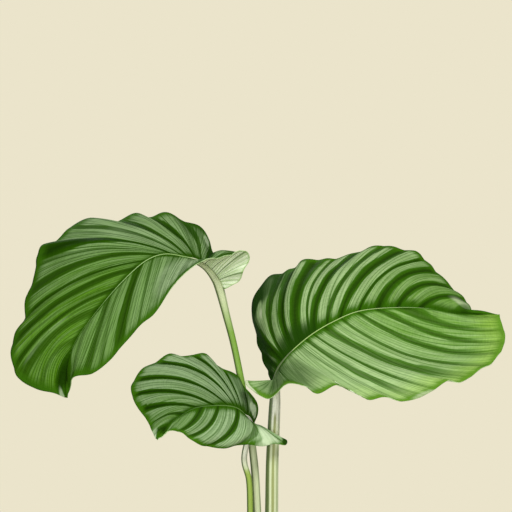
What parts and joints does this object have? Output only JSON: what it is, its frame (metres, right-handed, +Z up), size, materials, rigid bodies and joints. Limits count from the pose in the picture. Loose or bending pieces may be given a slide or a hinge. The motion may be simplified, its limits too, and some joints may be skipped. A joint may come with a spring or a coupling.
{
  "type": "potted prayer plant",
  "caption": "Calathea orbifolia with broad banded leaves on long stalks, planted in soil in a plain terracotta pot.",
  "frame": {"origin": "centre of the pot's foot, on the surface it stands on", "axes": "+Z up along the pot's axis; the plant's display side faces -Y and its large leaves spread along X"},
  "size_m": [0.413, 0.1552, 0.4557],
  "materials": {
    "terracotta": "matte",
    "soil": "matte",
    "stalk": "satin",
    "leaf": "satin"
  },
  "bodies": {
    "root": {"pot": "terracotta", "soil": "soil", "stalk_left": "stalk", "stalk_right": "stalk", "stalk_small": "stalk", "blade_left": "leaf", "blade_right": "leaf", "blade_small": "leaf"}
  },
  "joints": []
}
